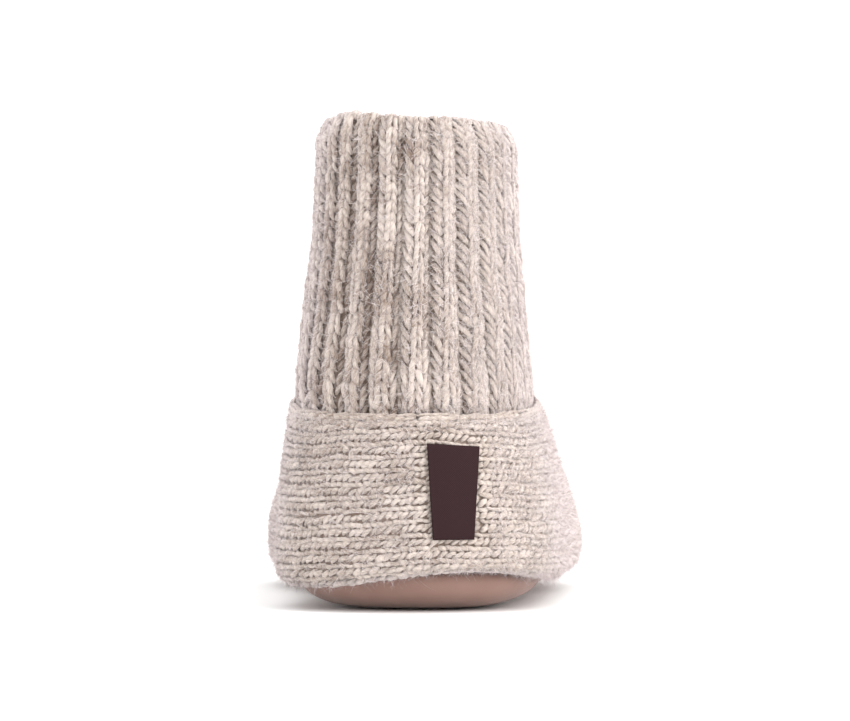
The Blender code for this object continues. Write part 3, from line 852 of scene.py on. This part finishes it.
heights = legs[3] * (0.75 - 0.33 * felted_and_lit(turn))
at_back = np.mod(turn + 0.25, 1.0) < 0.5
# The legs' ends carry painted shade where they dive under, less of it on the outer side: painted light.
for name, chosen, rings in (
        ("shaft_stitches_back", at_back & ~inside, 6), ("shaft_stitches_front", ~at_back & ~inside, 5),
        ("shaft_stitches_inside", inside, 4)):
    piece = lay_yarn(name, shaft_wool, shaft_surface, [part[chosen] for part in legs],
                     heights[chosen], rings, 0.52 - 0.26 * felted_and_lit(turn[chosen]))
    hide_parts("rib_shaft")


# Topline: the foot part's cast-off edge.
# The foot part ends in a chain of its own yarn, which laps over the foot of the shaft all the
# way round and stands a little proud.
CHAIN_PITCH = 0.0031
CHAIN_STITCH = 0.0049
LIP = 0.0011

# Strands of the chain: height over the topline, slant, half width and lift
CHAIN_STRANDS = (
    (0.0001, 0.0009, 0.00080, -0.00040),
    (-0.0013, -0.0005, 0.00085, -0.00030),
    (0.0009, 0.0004, 0.00065, -0.00110),
)


def topline_surface(u, w):
    """Place on the lip: u counts the shaft's columns round, and w is a height over the topline."""
    i = np.mod(u, SHAFT_COLUMNS)
    height, start, away = [np.interp(i, spots, line, period=SHAFT_COLUMNS)
                           for line in (topline, shaft_start, edge_away)]
    place, normal = read_surface(shaft_grid, shaft_normals, i, (height - start) / ROW_HEIGHT)
    place = place + normal * (LIP + away)[..., None]
    place[..., 2] += w
    return place, normal


ring_turns = np.arange(SHAFT_COLUMNS + 1.0)
ring_length = run_along(topline_surface(ring_turns, 0.0 * ring_turns)[0])
count = int(ring_length[-1] / CHAIN_PITCH)
legs = []
for rise, slant, wide, lift in CHAIN_STRANDS:
    at = (np.arange(count) + luck.uniform()) * CHAIN_PITCH + luck.normal(0.0, 0.0002, count)
    run = CHAIN_STITCH * luck.normal(1.0, 0.10, count)
    lean = slant * luck.normal(1.0, 0.35, count)
    middle = rise + luck.normal(0.0, 0.00015, count)
    start, end = [
        np.stack([np.interp(np.mod(at + share * run, ring_length[-1]), ring_length, ring_turns),
                  middle + share * lean], 1) for share in (-0.5, 0.5)]
    end[end[:, 0] < start[:, 0] - 100.0, 0] += SHAFT_COLUMNS
    legs.append((start, end, np.stack([0.0 * at, luck.normal(0.0001, 0.0001, count)], 1),
                 wide * luck.normal(1.0, 0.08, count), np.full(count, 0.0006),
                 lift + luck.normal(0.0, 0.0001, count), 0.42 + 0.14 * luck.normal(size=count)))
legs = joined(legs)
topline_chain = lay_yarn("topline_chain", foot_wool, topline_surface, legs, 0.9 * legs[3])


# Joins of the foot part: centre back and instep.
# The knitting's two ends are drawn together with the same yarn, in small upright stitches that
# sink between the rows.
SEAM_PITCH = 0.0016
INSTEP_FROM, INSTEP_TO = -0.004, 0.068

seam = [(seam_station(rise), rise) for rise in np.arange(edge_row[0] + 0.002, last_row[0] - 0.001, SEAM_PITCH)]
heel_count = len(seam)
instep = (stations[:, 2] > 0.99) & (stations[:, 1] > INSTEP_FROM) & (stations[:, 1] < INSTEP_TO)
seam = np.array(seam + [(i, last_row[i] + 0.0002) for i in np.flatnonzero(instep)])
count = len(seam)
at_heel = np.arange(count) < heel_count
across, below, above, wide, high = [
    np.where(at_heel, heel, front) for heel, front in (
        (0.55, 1.1), (0.0009, 0.0008), (0.0009, 0.0012), (0.00050, 0.00085), (0.00045, 0.00080))]
legs = (seam - np.stack([across, below], 1), seam + np.stack([across, above], 1), np.zeros((count, 2)),
        wide, np.full(count, 0.0006), np.full(count, -0.00080), 0.45 + 0.15 * luck.normal(size=count))
foot_joins = lay_yarn("foot_joins", foot_wool, foot_surface, legs, high)


# Padded sole.
# Foam in a soft tan suede cover, sewn inside the knit's lower edge. It lies flat under heel and
# ball, and its edge is rounded.
def slab_profile(tree, station, middle, reach):
    """Points round a flat soft piece at one station, from its middle below to that above."""
    def hit(*ends):
        return section_hit(tree, station, *ends)

    lift = hit((0.0, -0.05), (0.0, 0.06))[1]
    top = hit((0.0, 0.09), (0.0, lift))[1]
    edge_z = lift + middle * (top - lift)
    edge = None
    while edge is None:
        edge = hit((0.09, edge_z), (0.0, edge_z))
        edge_z += 0.0005
    core = (edge[0] - reach, 0.5 * (lift + top))
    found = [hit((out, -0.05), (out, 0.06)) for out in np.linspace(0.0, core[0], 7)]
    found += fan_hits(tree, station, core, np.linspace(-84.0, 84.0, 29), 0.06)
    found += [hit((out, 0.09), (out, lift)) for out in np.linspace(core[0], 0.0, 7)]
    return np.array([place for place in found if place is not None])


def soft_slab(name, node, middle, reach, material, rows, soften, marl_and_shade):
    """A smooth flat soft piece in the place of its solid, closed along its middle line."""
    tree = tree_of(node)
    chosen = stations[::2]
    out, up = np.zeros((2, len(chosen), rows))
    steps = np.arange(240)
    for i, station in enumerate(chosen):
        profile = slab_profile(tree, station, middle, reach)
        length = run_along(profile)
        at = np.linspace(0.0, length[-1], len(steps))
        r, z = [smooth(np.interp(at, length, line), soften, 0, False) for line in profile.T]
        r[0], r[-1] = 0.0, 0.0
        bend = np.abs(np.gradient(np.arctan2(np.gradient(z), np.gradient(r)))) + 0.012
        dense = np.cumsum(smooth(np.minimum(bend, 0.3), 3.0, 0, False))
        pick = np.interp(np.linspace(dense[0], dense[-1], rows), dense, steps)
        out[i], up[i] = np.interp(pick, steps, r), np.interp(pick, steps, z)
    out, up = smooth(out, 1.6, 0, True), smooth(up, 1.6, 0, True)
    out[:, 0], out[:, -1] = 0.0, 0.0
    points = placed(chosen, out, up)
    piece = new_piece(name, points, grid_faces(len(chosen), rows, True), material,
                      points * 1000.0, np.full(out.size, marl_and_shade))
    weld_rim(piece, 0.0009)
    return piece


def make_grain():
    """Fine nap and soft mottling, read in millimetres from the piece's own places."""
    group, given, result = new_group(
        "soft_nap", (("Size", "NodeSocketFloat"), ("Mottling", "NodeSocketFloat")),
        (("Patches", "NodeSocketFloat"), ("Nap", "NodeSocketFloat")))
    place = new_node(group, "Attribute", {}, attribute_name="yarn").outputs["Vector"]
    nap = new_node(group, "TexNoise", {
        "Vector": place, "Scale": given["Size"], "Detail": 4.0, "Roughness": 0.7}).outputs["Fac"]
    patches = new_node(group, "TexNoise", {"Vector": place, "Scale": 0.09, "Detail": 3.0}).outputs["Fac"]
    both = number(group, "MULTIPLY_ADD", patches, 0.75, number(group, "MULTIPLY", nap, 0.25))
    spread = number(group, "MULTIPLY_ADD", number(group, "SUBTRACT", both, 0.5), given["Mottling"], 0.5)
    fill(group, result, {"Patches": new_node(group, "Clamp", {0: spread}).outputs[0], "Nap": nap})
    return group


soft_nap = make_grain()


def nap_material(name, light, dark, size, mottling, roughness, sheen, depth):
    """A napped material: suede or fleece."""
    material, tree = new_material(name)
    nap = new_node(tree, "Group", {"Size": size, "Mottling": mottling}, node_tree=soft_nap)
    bump = new_node(tree, "Bump", {"Strength": 0.7, "Distance": depth, "Height": nap.outputs["Nap"]})
    fill(tree, tree.nodes["Principled BSDF"], {
        "Roughness": roughness, "Specular IOR Level": 0.25, "Sheen Weight": sheen, "Sheen Roughness": 0.45,
        "Base Color": mixed(tree, nap.outputs["Patches"], dark, light), "Normal": bump.outputs["Normal"]})
    return material


sole_suede = nap_material("sole_suede_tan", (0.285, 0.174, 0.142, 1.0), (0.222, 0.132, 0.108, 1.0),
                          2.6, 2.0, 0.66, 0.12, 0.00010)
padded_sole = soft_slab("padded_sole", "outsole", 0.78, 0.020, sole_suede, 40, 6.0, 0.5)
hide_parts("outsole")


# Footbed: short pale fleece over a thin board, which lies on the sole inside the foot part.
# It shows from above, through the collar.
footbed_fleece = nap_material("footbed_fleece_pile", (0.50, 0.43, 0.38, 1.0), (0.33, 0.275, 0.24, 1.0),
                              1.5, 2.2, 0.95, 0.4, 0.0009)
footbed = soft_slab("footbed", "insole", 0.5, 0.012, footbed_fleece, 24, 3.0, 0.5)
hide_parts("insole")


# Label: a dark brown woven tab, sewn flat on the heel beside the centre-back join.
# It is damask-woven ribbon with firm selvedges at both sides, and it is left bare.
LABEL_ACROSS, LABEL_UP = 34, 66
LABEL_WIDTH, LABEL_HEIGHT = 15.0, 29.0      # in millimetres, for the weave
LABEL_INSET_X, LABEL_INSET_Z = 0.00022, 0.0002
RIBBON_THICKNESS = 0.0007

label_tree = tree_of("heel_label")
points = np.array([v.co for v in nodes["heel_label"].data.vertices])
corners = []
for near, rise in ((points[points[:, 2] < label_low.z + 0.0012], LABEL_INSET_Z),
                   (points[points[:, 2] > label_high.z - 0.0016], -LABEL_INSET_Z)):
    for pick, inset in ((np.argmin, LABEL_INSET_X), (np.argmax, -LABEL_INSET_X)):
        end = near[pick(near[:, 0])]
        corners.append(np.array([end[0] + inset, end[2] + rise]))
low_left, low_right, top_left, top_right = corners
face = np.full((LABEL_ACROSS, LABEL_UP, 3), np.nan)
for i, a in enumerate(np.linspace(0.0, 1.0, LABEL_ACROSS)):
    for j, b in enumerate(np.linspace(0.0, 1.0, LABEL_UP)):
        x, z = (low_left * (1 - a) + low_right * a) * (1 - b) + (top_left * (1 - a) + top_right * a) * b
        found = label_tree.ray_cast(Vector((x, -0.25, z)), Vector((0.0, 1.0, 0.0)), 0.2)[0]
        face[i, j] = found if found is not None else (x, np.nan, z)
depth = face[:, :, 1]
for j in range(LABEL_UP):
    known = np.flatnonzero(np.isfinite(depth[:, j]))
    if len(known):
        depth[:, j] = np.interp(np.arange(LABEL_ACROSS), known, depth[known, j])
known = np.flatnonzero(np.isfinite(depth).all(0))
for i in range(LABEL_ACROSS):
    depth[i] = np.interp(np.arange(LABEL_UP), known, depth[i, known])
a = np.linspace(0.0, 1.0, LABEL_ACROSS)[:, None]
b = np.linspace(0.0, 1.0, LABEL_UP)[None, :]
selvedge = swell(a, 0.0, 0.035) + swell(a, 1.0, 0.035)
turned_under = swell(b, 0.0, 0.02) + swell(b, 1.0, 0.02)
puff = 0.00010 * np.sin(b * 9.0) * np.sin(a * 3.0) + 0.00012 * selvedge - 0.0003 * turned_under
face[:, :, 1] = smooth(smooth(depth, 2.0, 0, False), 3.0, 1, False) - puff


def make_weave():
    """Fine damask: threads over and under, read in millimetres along and across the ribbon."""
    group, given, result = new_group(
        "ribbon_weave", (("Threads", "NodeSocketFloat"),), (("Weave", "NodeSocketFloat"),))
    place = new_node(group, "Attribute", {}, attribute_name="yarn").outputs["Vector"]
    parts = new_node(group, "SeparateXYZ", {0: place}).outputs
    waves = [number(group, "SINE", number(group, "MULTIPLY", parts[k], given["Threads"])) for k in (0, 1)]
    crossed = number(group, "MULTIPLY", *waves)
    fill(group, result, {"Weave": number(group, "MULTIPLY_ADD", crossed, 0.5, 0.5)})
    return group


ribbon, tree = new_material("label_ribbon")
weave = new_node(tree, "Group", {"Threads": 9.0}, node_tree=make_weave()).outputs["Weave"]
bump = new_node(tree, "Bump", {"Strength": 0.6, "Distance": 0.00008, "Height": weave})
fill(tree, tree.nodes["Principled BSDF"], {
    "Roughness": 0.85, "Specular IOR Level": 0.05, "Normal": bump.outputs["Normal"],
    "Base Color": mixed(tree, weave, (0.020, 0.0095, 0.011, 1.0), (0.041, 0.022, 0.024, 1.0))})
woven_label = new_piece(
    "woven_label", face, grid_faces(LABEL_ACROSS, LABEL_UP, False), ribbon,
    np.stack(np.broadcast_arrays(a * LABEL_WIDTH, b * LABEL_HEIGHT, 0.0), -1), np.full(a.size * b.size, 0.5))
thicken(woven_label, RIBBON_THICKNESS)
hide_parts("heel_label")


# Loose fibres of the wool.
# Fine hairs stand off the yarn everywhere and soften its outlines. They are part of the wool.
LONG_HAIR = (0.0030, 0.000070, 0.85, 2)
SHORT_HAIR = (0.0018, 0.000105, 0.55, 1)
ROOT_DEPTH = 0.0003
OVER_FLOOR = 0.0004
LABEL_CLEAR = 0.0032
SPREAD_SHARE, GATHERED_REACH = 0.80, 0.06


def fibres(name, surface, u, w, slot, length, width, rise, spans, material):
    """Fine curved hairs as narrow strips on a surface, each of one or more spans."""
    count = len(u)
    root, normal = surface(u, w)
    ahead = surface(u + 0.3, w)[0] - root
    ahead /= np.linalg.norm(ahead, axis=1, keepdims=True)
    side = np.cross(normal, ahead)
    angle = luck.uniform(0.0, 2.0 * math.pi, count)[:, None]
    flat = ahead * np.cos(angle) + side * np.sin(angle)
    way = flat + normal * (np.abs(luck.normal(0.0, rise, count))[:, None] + 0.10)
    way /= np.linalg.norm(way, axis=1, keepdims=True)
    bend = (np.cross(normal, flat) * luck.normal(0.0, 0.55, count)[:, None]
            - normal * luck.uniform(0.0, 0.7, count)[:, None])
    reach = (length * np.exp(luck.normal(0.0, 0.45, count)))[:, None]
    flat_side = np.cross(way, normal)
    flat_side /= np.linalg.norm(flat_side, axis=1, keepdims=True)
    thin = (width * luck.uniform(0.7, 1.3, count))[:, None]
    rings = spans + 1
    points = np.empty((count, rings, 2, 3))
    for step in range(rings):
        t = step / spans
        spot = root - normal * ROOT_DEPTH + reach * (way * t + bend * t * t * 0.5)
        half_width = flat_side * thin * (1.0 - 0.75 * t ** 2) * 0.5
        points[:, step, 0] = spot - half_width
        points[:, step, 1] = spot + half_width
    points[..., 2] = np.maximum(points[..., 2], OVER_FLOOR)
    one = np.array([[2 * k, 2 * k + 1, 2 * k + 3, 2 * k + 2] for k in range(spans)])
    faces = (one[None] + (np.arange(count) * 2 * rings)[:, None, None]).reshape(-1, 4)
    yarn = np.zeros((count, 2 * rings, 3))
    yarn[..., 0] = luck.uniform(0.0, 90.0, count)[:, None]
    yarn[..., 2] = luck.uniform(0.0, 90.0, count)[:, None]
    shade = np.repeat(luck.normal(0.40, 0.32, count), 2 * rings)
    piece = new_piece(name, points, faces, material, yarn, shade, np.repeat(normal, 2 * rings, axis=0))


def places_round(count, around):
    """Random places on the way round, some of them gathered where the wool is felted."""
    return np.where(luck.uniform(size=count) < SPREAD_SHARE, luck.uniform(0.0, around, count),
                    luck.normal(FELT_AND_LIGHT_AT, GATHERED_REACH, count) * around)


def places_on_foot(count):
    """Places spread over the foot part, none of them under the label."""
    u = np.mod(places_round(count * 3, STATION_COUNT), STATION_COUNT)
    w = luck.uniform(edge_row.min(), last_row.max(), count * 3)
    low, high = [np.interp(u, np.arange(STATION_COUNT), line, period=STATION_COUNT)
                 for line in (edge_row, last_row)]
    inside = (w > low) & (w < high) & ~at_label(foot_surface(u, w)[0], LABEL_CLEAR)
    return u[inside][:count], w[inside][:count]


def places_on_shaft(count):
    """Places spread over the shaft's outside, its rim and the top of its inside."""
    rib = places_round(count, RIB_COUNT)
    narrow = 1.0 - 0.35 * swell(rib / RIB_COUNT, 0.86, FOLD_REACH)
    crest = np.mod(np.floor(rib) + luck.uniform(-0.42, 0.42, count) * narrow, RIB_COUNT)
    return crest, luck.uniform(BELOW_TOPLINE / ROW_HEIGHT, inside_first + 8.0, count)


fibre_wool = wool_material("wool_fibres", (0.76, 0.69, 0.68, 1.0), (0.19, 0.14, 0.12, 1.0), 1.1, 0.0001)
for name, surface, places, count, slot, hair in (
        ("foot_long_fibres", foot_surface, places_on_foot, 19000, "foot_wool", LONG_HAIR),
        ("foot_short_fibres", foot_surface, places_on_foot, 66000, "foot_wool", SHORT_HAIR),
        ("shaft_long_fibres", shaft_surface, places_on_shaft, 15000, "shaft_wool", LONG_HAIR),
        ("shaft_short_fibres", shaft_surface, places_on_shaft, 46000, "shaft_wool", SHORT_HAIR)):
    fibres(name, surface, *places(count), slot, *hair, fibre_wool)


# Camera: straight behind the heel, low and far away, as the photograph was taken.
EYE = Vector((0.0006, -1.690, 0.086))
AIM = Vector((0.0006, -0.090, 0.0765))


def turned_to(place, towards):
    return (Vector(towards) - Vector(place)).to_track_quat("-Z", "Y").to_euler()


lens = bpy.data.cameras.new("camera")
lens.lens = 218.6
lens.sensor_width = 36.0
camera = bpy.data.objects.new("camera", lens)
camera.location = EYE
camera.rotation_euler = turned_to(EYE, AIM)
bpy.context.scene.collection.objects.link(camera)
bpy.context.scene.camera = camera


# Studio: a plain white floor, soft light all round and a large soft light from the right.
FLOOR_REACH = 12.0
KEY_PLACE, KEY_AIM = (1.6, -0.75, 1.2), (0.0, -0.05, 0.08)

floor_mesh = bpy.data.meshes.new("floor")
floor_mesh.from_pydata([(x * FLOOR_REACH, y * FLOOR_REACH, 0.0) for x, y in ((-1, -1), (1, -1), (1, 1), (-1, 1))],
                       [], [(0, 1, 2, 3)])
floor = bpy.data.objects.new("floor", floor_mesh)
floor.location.z = -0.0002
bpy.context.scene.collection.objects.link(floor)
white, tree = new_material("studio_floor")
fill(tree, tree.nodes["Principled BSDF"], {"Base Color": (0.90, 0.90, 0.90, 1.0), "Roughness": 0.9})
floor_mesh.materials.append(white)
floor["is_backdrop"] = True

world = bpy.data.worlds.new("studio")
world.use_nodes = True
fill(world.node_tree, world.node_tree.nodes["Background"], {"Color": (1.0, 1.0, 1.0, 1.0), "Strength": 1.60})
bpy.context.scene.world = world
bpy.context.scene.view_settings.view_transform = "Standard"

key = bpy.data.lights.new("key", "AREA")
key.shape = "DISK"
key.size = 2.3
key.energy = 32.0
key.color = (1.0, 0.98, 0.96)
holder = bpy.data.objects.new("key", key)
holder.location = KEY_PLACE
holder.rotation_euler = turned_to(KEY_PLACE, KEY_AIM)
bpy.context.scene.collection.objects.link(holder)


low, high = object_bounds()
